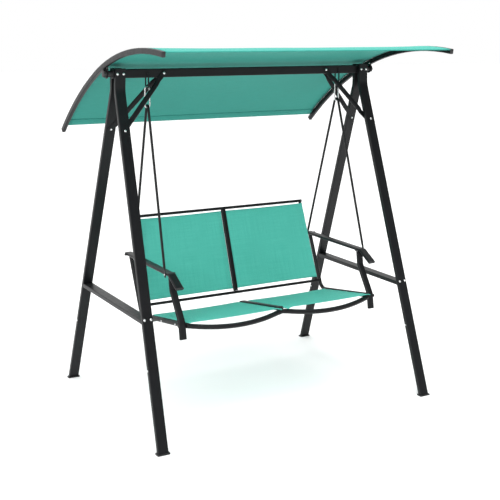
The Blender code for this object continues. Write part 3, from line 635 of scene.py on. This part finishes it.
def sling_profile(inner, outer, sag, rail_drop, sleeved):
    """Cross-section of a sling as pairs of x and height above its plane.

    It starts under the inner hem, rolls round a thin keder rod beside the centre bar and runs
    taut to the outer rail. A sleeved sling wraps the rail and comes back to a seam under the
    panel; the other kind ends in a hem on the rail's top.
    """
    roll = SLING_ROLL_R
    points = [(inner + SLING_SEAM, -0.0012), (inner + 0.012, -0.0022)]
    for angle in arc(6, -math.pi / 2, -1.5 * math.pi):
        points.append((inner + roll + roll * math.cos(angle), -roll + roll * math.sin(angle)))
    span = outer - inner - roll
    for step in range(1, SLING_COLUMNS):
        share = step / SLING_COLUMNS
        points.append((inner + roll + span * share, -sag * math.sin(math.pi * share) ** 0.8))
    last = -math.pi * 0.62 if sleeved else math.pi * 0.22
    for angle in arc(12, math.pi / 2, last):
        points.append((outer + SLING_SLEEVE_R * math.cos(angle),
                       -rail_drop + SLING_SLEEVE_R * math.sin(angle)))
    if sleeved:
        points += [(outer - SLING_SEAM * 0.62, -rail_drop * 0.72),
                   (outer - SLING_SEAM, -0.0014), (outer - SLING_SEAM - 0.008, -0.0012)]
    return [(x, height - INNER_TUCK * (1 - smooth_share(x, inner, inner + 0.022)))
            for x, height in points]


def make_sling(name, node, side, start, end, up, inner_x, outer_x, rail_drop, sag, pull,
               sleeved):
    """Sling between two free edges; outer_x gives the outer rail's x at a share of the way."""
    length = (end - start).length
    rows = []
    steps = SLING_STEPS
    for i in range(steps + 1):
        share = i / steps
        edge = 1 - abs(2 * share - 1)
        row = []
        inner, outer = inner_x, outer_x(share)
        profile = sling_profile(inner, outer, sag, rail_drop, sleeved)
        for x, height in profile:
            middle = math.sin(math.pi * min(max((x - inner) / (outer - inner), 0.0), 1.0))
            shift = pull * middle ** 0.7 * (1 - smooth_share(edge, 0.0, 0.5))
            shift *= 1 if share < 0.5 else -1
            ripple = SLING_RIPPLE * math.sin(37 * share + 3 * x) * (1 - middle) * (height > -0.004)
            base = start + (end - start) * share + (end - start) / length * shift
            row.append(Vector((side * x, base.y, base.z)) + up * (height + ripple))
        rows.append(row if side > 0 else row[::-1])

    def layers(count_rows, count_columns):
        for i in range(count_rows):
            from_edge = min(i, count_rows - 1 - i) * length / steps
            weight = 1.0 if from_edge < HEM else 0.5
            for j in range(count_columns):
                yield i * count_columns + j, weight

    piece, _, _ = make_sheet(name, rows, SLING_CLOTH * 2, FINISHES["sling_cloth"], "seat", layers)
    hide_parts(node)

    shape = bmesh.new()
    columns = len(rows[0])
    flat_from, flat_to = SLING_ROLL_COLUMNS, SLING_ROLL_COLUMNS + SLING_COLUMNS

    def column_path(offset, from_outer):
        path = []
        for i in range(1, steps):
            share = i / steps
            outer = outer_x(share)
            x = outer - offset if from_outer else inner_x + offset
            span = outer - inner_x - SLING_ROLL_R
            part = (x - inner_x - SLING_ROLL_R) / span
            height = -sag * math.sin(math.pi * part) ** 0.8 + SLING_CLOTH / 2
            base = start + (end - start) * share
            path.append(Vector((side * x, base.y, base.z)) + up * height)
        return path

    for offset, from_outer in ((SLING_SEAM - 0.004, False), (SLING_SEAM - 0.002, True),
                               (SLING_SEAM + 0.004, True)):
        add_stitches(shape, column_path(offset, from_outer), lambda _: up)
    for row_index in (1, steps - 1):
        path = []
        for j in range(flat_from, flat_to):
            column = j if side > 0 else columns - 1 - j
            path.append(rows[row_index][column] + up * SLING_CLOTH)
        add_stitches(shape, path, lambda _: up)
    thread = make_piece(f"{name}_stitching", shape, THREAD, "seat", 60)


def make_slings():
    """Two seat slings and two back slings, stretched between the centre bars and the rails."""
    for side, sx in SIDES.items():
        rail = tube_ends(f"seat_side_rail_{side}")
        rail_x = abs(rail[0].x)
        low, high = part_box(f"seat_sling_{side}")
        slope = (rail[1] - rail[0]).normalized()
        up = AXIS_X.cross(slope)
        up = up if up.z > 0 else -up
        lift = SEAT_SLING_LIFT
        front = rail[0] + slope * ((low.y - rail[0].y) / slope.y) + up * lift
        rear = rail[0] + slope * ((high.y - rail[0].y) / slope.y) + up * lift
        front.x = rear.x = 0
        inner = min(abs(low.x), abs(high.x))
        make_sling(f"seat_sling_cloth_{side}", f"seat_sling_{side}", sx, front, rear, up,
                   inner, lambda share: rail_x, lift, SEAT_SLING_SAG, SEAT_SLING_PULL,
                   False)

        low_end, high_end = tube_ends(f"back_stile_{side}")
        bar = tube_ends("back_centre_stile")
        rise = (bar[1] - bar[0]).normalized()
        up = AXIS_X.cross(rise)
        up = up if up.y < 0 else -up
        low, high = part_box(f"back_sling_{side}")
        bottom = bar[0] + rise * ((low.z + BACK_SLING_INSET - bar[0].z) / rise.z)
        top = bar[0] + rise * ((high.z - BACK_SLING_INSET - bar[0].z) / rise.z)
        inner = min(abs(low.x), abs(high.x))
        low_x, high_x = abs(low_end.x), abs(high_end.x)
        lift = BACK_SLING_LIFT
        make_sling(f"back_sling_cloth_{side}", f"back_sling_{side}", sx,
                   bottom + up * lift, top + up * lift, up, inner,
                   lambda share: low_x + (high_x - low_x) * share, lift, BACK_SLING_SAG,
                   BACK_SLING_PULL, True)


def arch_centre(angle):
    """Bend centre (y, z) and radius of the arches where their slope is angle."""
    y, z, radius = ARCH_CREST[0], ARCH_CREST[1] - ARCH_FRONT_R, ARCH_FRONT_R
    if angle > ARCH_CHANGE:
        y += (ARCH_FRONT_R - ARCH_REAR_R) * math.sin(ARCH_CHANGE)
        z += (ARCH_FRONT_R - ARCH_REAR_R) * math.cos(ARCH_CHANGE)
        radius = ARCH_REAR_R
    return y, z, radius


def canopy_profile():
    """The canopy's cross-section from seam to seam.

    Each point is y, z, its lift above the arches' centre line, and a share for the sag.
    """
    front = sum(tube_ends("canopy_bar_front"), Vector()) / 2
    rear = sum(tube_ends("canopy_bar_rear"), Vector()) / 2
    y, z, _ = arch_centre(0)
    front_angle = math.atan2(front.y - y, front.z - z)
    y, z, _ = arch_centre(ARCH_CHANGE + 1)
    rear_angle = math.atan2(rear.y - y, rear.z - z)
    round_off = CANOPY_SLEEVE_DEEP / 2

    def over(angle, lift):
        y, z, radius = arch_centre(angle)
        reach = radius + lift
        return y + reach * math.sin(angle), z + reach * math.cos(angle), lift

    def hem(angle, radius, way, steps=8):
        """From the seam under the cloth to the sleeve's outer edge, and round it to the top."""
        tail = angle - way * (CANOPY_SEAM + CANOPY_TAIL) / radius
        seam = angle - way * CANOPY_SEAM / radius
        inside = angle - way * CANOPY_SLEEVE_REACH / radius
        edge = angle + way * CANOPY_SLEEVE_REACH / radius
        close = CANOPY_TOP_LIFT - CANOPY_SEAM_GAP
        low = CANOPY_TOP_LIFT - CANOPY_SLEEVE_DEEP
        points = [over(tail, close), over(seam, close), over(inside, low), over(edge, low)]
        for turn in arc(steps, 0.0, math.pi)[1:]:
            reach = edge + way * round_off * 0.7 * math.sin(turn) / radius
            points.append(over(reach, CANOPY_TOP_LIFT - round_off - round_off * math.cos(turn)))
        return points

    profile = [(*point, 0.0) for point in hem(front_angle, ARCH_FRONT_R, -1)]
    first = front_angle - CANOPY_SLEEVE_REACH / ARCH_FRONT_R
    last = rear_angle + CANOPY_SLEEVE_REACH / ARCH_REAR_R
    for step in range(1, CANOPY_STEPS):
        share = step / CANOPY_STEPS
        angle = first + (last - first) * share
        profile.append((*over(angle, CANOPY_TOP_LIFT), math.sin(math.pi * share) ** 0.7))
    profile += [(*point, 0.0) for point in hem(rear_angle, ARCH_REAR_R, 1)[::-1]]
    return profile


def canopy_half(lift):
    """Half width of the cloth: it follows the arches' inner faces and their rounded corners."""
    rise = max(lift - CANOPY_CLOTH - ARCH_FLAT, 0.0)
    return ARCH_FACE_X - 0.0002 + ARCH_CORNER_R - math.sqrt(ARCH_CORNER_R ** 2 - rise ** 2)


def make_canopy():
    """One sewn sheet from the front bar over the arches' curve to the rear bar."""
    profile = canopy_profile()
    columns = CANOPY_COLUMNS
    rows = []
    for y, z, lift, slack in profile:
        row = []
        for j in range(columns + 1):
            part = 2 * j / columns - 1
            x = canopy_half(lift) * part
            wave = CANOPY_WAVE * math.sin(9.0 * part + 14 * y) * math.sin(21 * y + 1.3)
            row.append(Vector((x, y, z + (wave - CANOPY_SAG) * slack * (1 - part ** 4))))
        rows.append(row)

    def layers(count_rows, count_columns):
        for i in range(count_rows):
            for j in range(count_columns):
                from_side = min(j, count_columns - 1 - j) * 2 * ARCH_FACE_X / columns
                yield i * count_columns + j, 1.0 if from_side < CANOPY_SIDE_HEM else 0.5

    piece, length, width = make_sheet("canopy_sheet", rows, CANOPY_CLOTH * 2, CANOPY_FINISH,
                                      "canopy", layers)
    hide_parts("canopy_cloth")

    shape = bmesh.new()

    def stitch_line(path, up):
        add_stitches(shape, path, lambda _: up, CANOPY_STITCH_PITCH, CANOPY_STITCH)

    hem_points = (len(profile) - CANOPY_STEPS + 1) // 2
    flat_rows = range(hem_points, hem_points + CANOPY_STEPS - 1)
    for j in (1, columns - 1):
        path = [rows[i][j] for i in flat_rows]
        for up in (AXIS_Z, -AXIS_Z):
            stitch_line([p + up * CANOPY_CLOTH for p in path], up)
    for tail, above in ((1, flat_rows[1]), (len(rows) - 2, flat_rows[-2])):
        stitch_line([p - AXIS_Z * 0.0006 for p in rows[tail]], -AXIS_Z)
        stitch_line([p + AXIS_Z * CANOPY_CLOTH for p in rows[above]], AXIS_Z)
    thread = make_piece("canopy_stitching", shape, THREAD, "canopy", 60)


# ---------------------------------------------------------------- fasteners
def make_stand_bolts():
    middle_y = sum(c.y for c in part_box("top_beam")) / 2
    beam_z = sum(c.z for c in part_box("top_beam")) / 2
    leg_wide, leg_deep, _ = LEG_TUBE
    for side, sx in SIDES.items():
        lines = {end: leg_line(end, side) for end in ENDS}
        foot, line = lines["front"]
        centre_x = (foot + line * (beam_z - foot.z)).x
        front_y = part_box(f"leg_upper_front_{side}")[1].y - leg_deep
        rear_y = 2 * middle_y - front_y
        for number, offset in enumerate((-BEAM_BOLT_SPREAD, BEAM_BOLT_SPREAD), 1):
            x = centre_x + offset
            make_bolt(f"leg_beam_bolt_{side}_{number}", Vector((x, front_y, beam_z)),
                      Vector((x, rear_y, beam_z)), "frame")
        brace_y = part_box("top_beam")[0].y - BRACE_THICK
        make_bolt(f"brace_beam_bolt_{side}", Vector((sx * BRACE_BEAM_X, brace_y, beam_z)),
                  Vector((sx * BRACE_BEAM_X, 2 * middle_y - brace_y, beam_z)), "frame")
        low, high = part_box(f"beam_hanger_{side}")
        x = (low.x + high.x) / 2
        make_bolt(f"hanger_bolt_{side}", Vector((x, middle_y - EYE_FACE, beam_z)),
                  Vector((x, middle_y + EYE_FACE, beam_z)), "frame", SMALL_BOLT_R,
                  slot="powder_coat")
        for end, sy in ENDS.items():
            foot, line = lines[end]
            along = line.normalized()
            wide = Vector((along.z, 0, -along.x)).normalized()
            out = along.cross(wide).normalized()
            out = out if out.y * sy > 0 else -out

            def on_leg(z, across=0.0):
                return foot + line * (z - foot.z) + wide * across

            half = out * (leg_deep / 2)
            at = on_leg(BRACE_LEG_Z)
            make_bolt(f"brace_leg_bolt_{end}_{side}", at + half, at - half - out * BRACE_THICK,
                      "frame")
            stretcher_z = sum(c.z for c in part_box(f"side_stretcher_{side}")) / 2
            for number, across in enumerate((-STRETCHER_BOLT_SPREAD, STRETCHER_BOLT_SPREAD), 1):
                at = on_leg(stretcher_z + STRETCHER_BOLT_RISE, across)
                make_bolt(f"stretcher_bolt_{end}_{side}_{number}", at + half, at - half, "frame",
                          nut_shown=False)
            at = on_leg(SPLICE_BOLT_Z)
            inward = wide * (-sx if wide.x > 0 else sx)
            make_bolt(f"splice_bolt_{end}_{side}", at + inward * (leg_wide / 2),
                      at - inward * (leg_wide / 2), "frame", SMALL_BOLT_R)


def make_leg_caps():
    leg_deep = LEG_TUBE[1]
    for side in SIDES:
        for end in ENDS:
            low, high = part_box(f"leg_upper_{end}_{side}")
            inner = high.y if end == "front" else low.y
            y = inner - leg_deep / 2 if end == "front" else inner + leg_deep / 2
            foot, line = leg_line(end, side)
            x = (foot + line * (high.z - foot.z)).x
            make_cap(f"leg_top_cap_{end}_{side}", Vector((x, y, high.z)), AXIS_Z, AXIS_X,
                     LEG_TUBE, "frame", LEG_CAP_THICK)


def make_arch_caps():
    for side in SIDES:
        low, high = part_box(f"canopy_arch_{side}")
        x = (low.x + high.x) / 2
        points = points_of(f"canopy_arch_{side}")
        for end, sign in ENDS.items():
            limit = min(p.y for p in points) if sign < 0 else max(p.y for p in points)
            near = [p for p in points if abs(p.y - limit) < ARCH_END_REACH[end]]
            centre = sum(near, Vector()) / len(near)
            slope = ARCH_END_SLOPES[end]
            outward = Vector((0, sign * math.cos(slope), -sign * math.sin(slope)))
            make_cap(f"arch_cap_{end}_{side}", Vector((x, centre.y, centre.z)), outward, AXIS_X,
                     ARCH_TUBE, "canopy")


def make_arm_caps():
    """Caps on the armrests' two ends and on the front posts' lower ends."""
    for side in SIDES:
        low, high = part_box(f"armrest_{side}")
        x = (low.x + high.x) / 2
        make_cap(f"arm_cap_rear_{side}", Vector((x, high.y, high.z - ARM_TUBE[1] / 2)), AXIS_Y,
                 AXIS_X, ARM_TUBE, "seat")
        points = [p for p in points_of(f"armrest_{side}") if p.y < low.y + ARM_END_REACH]
        centre = sum(points, Vector()) / len(points)
        make_cap(f"arm_cap_front_{side}", Vector((x, centre.y, centre.z)), ARM_FRONT_WAY, AXIS_X,
                 ARM_TUBE, "seat")

        low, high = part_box(f"arm_post_front_{side}")
        x = (low.x + high.x) / 2
        foot_points = [p for p in points_of(f"arm_post_front_{side}") if p.z < low.z + 0.0005]
        y = sum(p.y for p in foot_points) / len(foot_points)
        make_cap(f"post_cap_{side}", Vector((x, y, low.z)), -AXIS_Z, AXIS_X, POST_TUBE, "seat")


def make_rail_caps():
    """Caps on the cross rails, on the centre bar and on the seat's side rails."""
    for side, sx in SIDES.items():
        for node, radius in (("back_top_rail", BACK_RAIL_R), ("seat_cross_rail", SEAT_RAIL_R)):
            low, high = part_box(node)
            end_x = low.x if sx < 0 else high.x
            centre = Vector((end_x, (low.y + high.y) / 2, (low.z + high.z) / 2))
            make_round_cap(f"{node}_cap_{side}", centre, AXIS_X * sx, radius, "seat")
    for end, centre, outward in both_ends("seat_centre_bar"):
        make_cap(f"centre_bar_cap_{end}", centre, outward, AXIS_X, CENTRE_BAR_TUBE, "seat",
                 CENTRE_BAR_CAP_THICK)
    for side in SIDES:
        for end, centre, outward in both_ends(f"seat_side_rail_{side}"):
            make_round_cap(f"side_rail_cap_{end}_{side}", centre, outward, SEAT_RAIL_R, "seat",
                           SIDE_RAIL_CAP_CROWN)


def make_seat_bolts():
    for side, sx in SIDES.items():
        low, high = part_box(f"armrest_{side}")
        inner_x, outer_x = sorted((abs(low.x), abs(high.x)))
        arm_z = high.z - ARM_TUBE[1] / 2
        rod_low, rod_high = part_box(f"hanger_rod_{side}")
        place = Vector((0, rod_low.y + ROD_BOLT_FRONT, arm_z - 0.001))
        seat_bolt(f"rod_bolt_front_{side}", AXIS_X * sx * (outer_x + ROD_BOLT_OUT) + place,
                  AXIS_X * sx * inner_x + place)
        place = Vector((0, rod_high.y - ROD_BOLT_REAR, arm_z))
        seat_bolt(f"rod_bolt_rear_{side}", AXIS_X * sx * (inner_x - ROD_BOLT_OUT) + place,
                  AXIS_X * sx * outer_x + place)

        outer_face = max(abs(corner.x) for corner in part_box(f"side_frame_{side}"))
        for number, y in enumerate(SIDE_BOLTS_Y, 1):
            z = SIDE_FRAME_LEVEL[1] + SIDE_FRAME_SLOPE * (SIDE_FRAME_LEVEL[0] - y)
            make_bolt(f"side_rail_bolt_{side}_{number}", Vector((sx * outer_face, y, z)),
                      Vector((sx * (outer_face - SIDE_BOLT_LENGTH), y, z)), "seat", SMALL_BOLT_R)

        outer_face = max(abs(corner.x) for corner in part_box(f"arm_post_front_{side}"))
        make_round_cap(f"front_rail_bolt_cap_{side}", Vector((sx * outer_face, *FRONT_RAIL_BOLT)),
                       AXIS_X * sx, FRONT_RAIL_CAP_R, "seat", FRONT_RAIL_CAP_CROWN,
                       FRONT_RAIL_CAP_INSERT)


def seat_bolt(name, head_at, nut_at):
    """Bolt through an armrest: zinc head on the rod, black cap nut on the far side."""
    out = (head_at - nut_at).normalized()
    make_bolt(name, head_at, nut_at, "seat", SMALL_BOLT_R, nut_shown=False)
    shape = bmesh.new()
    add_turned(shape, nut_at, -out, [(0.0072, 0.0), (0.0072, 0.0012), (0.0066, CAP_NUT_SEAT)])
    add_nut(shape, nut_at - out * CAP_NUT_SEAT, -out, CAP_NUT_ACROSS, CAP_NUT_TALL)
    add_turned(shape, nut_at - out * (CAP_NUT_SEAT + CAP_NUT_TALL), -out, dome(0.0048, 0.0040))
    make_piece(f"{name}_cap_nut", shape, FINISHES["black_plastic"], "seat")


def make_canopy_bolts():
    pivot_y = sum(c.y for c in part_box("top_beam")) / 2
    pivot_z = sum(c.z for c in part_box("top_beam")) / 2
    sine, cosine = math.sin(BRACKET_SLOPE), math.cos(BRACKET_SLOPE)
    for side, sx in SIDES.items():
        outer_face = max(abs(corner.x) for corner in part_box(f"canopy_bracket_{side}"))
        for number, across in enumerate((-BRACKET_BOLT_SPREAD, BRACKET_BOLT_SPREAD), 1):
            y = pivot_y + across * cosine + BRACKET_BOLT_RISE * sine
            z = pivot_z - across * sine + BRACKET_BOLT_RISE * cosine
            make_bolt(f"bracket_bolt_{side}_{number}", Vector((sx * outer_face, y, z)),
                      Vector((sx * (outer_face - BRACKET_THICK), y, z)), "canopy", BRACKET_BOLT_R)


# ---------------------------------------------------------------- studio
def make_world():
    """White to the camera; for light, brightest behind and to the left, dimmer to the front right."""
    world = bpy.data.worlds.new("studio_world")
    world.use_nodes = True
    tree = world.node_tree
    background = tree.nodes["Background"]
    background.inputs["Color"].default_value = (1.0, 1.0, 1.0, 1.0)
    toward = tree.nodes.new("ShaderNodeVectorMath")
    toward.operation = "DOT_PRODUCT"
    toward.inputs[1].default_value = BRIGHT_SIDE
    coordinates = tree.nodes.new("ShaderNodeTexCoord")
    tree.links.new(coordinates.outputs["Generated"], toward.inputs[0])
    glow = tree.nodes.new("ShaderNodeMapRange")
    glow.interpolation_type = "SMOOTHSTEP"
    for socket, value in (("From Min", -0.5), ("From Max", 1.0), ("To Min", WORLD_DIM),
                          ("To Max", WORLD_BRIGHT)):
        glow.inputs[socket].default_value = value
    tree.links.new(toward.outputs["Value"], glow.inputs["Value"])
    seen = tree.nodes.new("ShaderNodeLightPath")
    choice = tree.nodes.new("ShaderNodeMix")
    tree.links.new(seen.outputs["Is Camera Ray"], choice.inputs[0])
    tree.links.new(glow.outputs["Result"], choice.inputs[2])
    choice.inputs[3].default_value = 1.0
    tree.links.new(choice.outputs[0], background.inputs["Strength"])
    bpy.context.scene.world = world
    bpy.context.scene.view_settings.view_transform = "Standard"


def make_floor():
    shape = bmesh.new()
    corners = [(-FLOOR_REACH, -FLOOR_REACH), (FLOOR_REACH, -FLOOR_REACH),
               (FLOOR_REACH, FLOOR_REACH), (-FLOOR_REACH, FLOOR_REACH)]
    shape.faces.new([shape.verts.new((x, y, FLOOR_Z)) for x, y in corners])
    mesh = bpy.data.meshes.new("studio_floor")
    shape.to_mesh(mesh)
    shape.free()
    floor = bpy.data.objects.new("studio_floor", mesh)
    paint = Finish("studio_floor_paint", 0.9, Specular_IOR_Level=0.1,
                   Emission_Color=(1.0, 1.0, 1.0, 1.0), Emission_Strength=0.14)
    cloud = paint.noise(paint.place(), 0.6, 2.0)
    paint.set("Base Color", paint.blend(cloud, (0.84, 0.84, 0.84), (0.86, 0.86, 0.86)))
    mesh.materials.append(paint.material)
    bpy.context.scene.collection.objects.link(floor)


def make_lights():
    for name, kind, at, size, power in STUDIO_LIGHTS:
        light = bpy.data.lights.new(name, kind)
        light.energy = power
        if kind == "SUN":
            light.angle = math.radians(size)
        else:
            light.size = size
        lamp = bpy.data.objects.new(name, light)
        lamp.location = at
        lamp.rotation_euler = (LIGHTS_AIM - Vector(at)).to_track_quat("-Z", "Y").to_euler()
        bpy.context.scene.collection.objects.link(lamp)


def make_camera():
    ahead = Vector((math.sin(-CAMERA_AZIMUTH) * math.cos(CAMERA_PITCH),
                    math.cos(CAMERA_AZIMUTH) * math.cos(CAMERA_PITCH), -math.sin(CAMERA_PITCH)))
    right = ahead.cross(AXIS_Z).normalized()
    up = right.cross(ahead)
    rolled_right = right * math.cos(CAMERA_ROLL) + up * math.sin(CAMERA_ROLL)
    rolled_up = up * math.cos(CAMERA_ROLL) - right * math.sin(CAMERA_ROLL)
    matrix = Matrix((rolled_right, rolled_up, -ahead)).transposed().to_4x4()
    matrix.translation = CAMERA_PLACE
    camera = bpy.data.cameras.new("camera")
    camera.lens = CAMERA_LENS
    camera.sensor_width = CAMERA_SENSOR
    holder = bpy.data.objects.new("camera", camera)
    holder.matrix_world = matrix
    bpy.context.scene.collection.objects.link(holder)
    bpy.context.scene.camera = holder


make_camera()
make_world()
make_floor()
make_lights()
dress_frame()
make_canopy()
make_slings()
make_stand_bolts()
make_canopy_bolts()
make_seat_bolts()
make_leg_caps()
make_arch_caps()
make_arm_caps()
make_rail_caps()

bpy.context.view_layer.update()
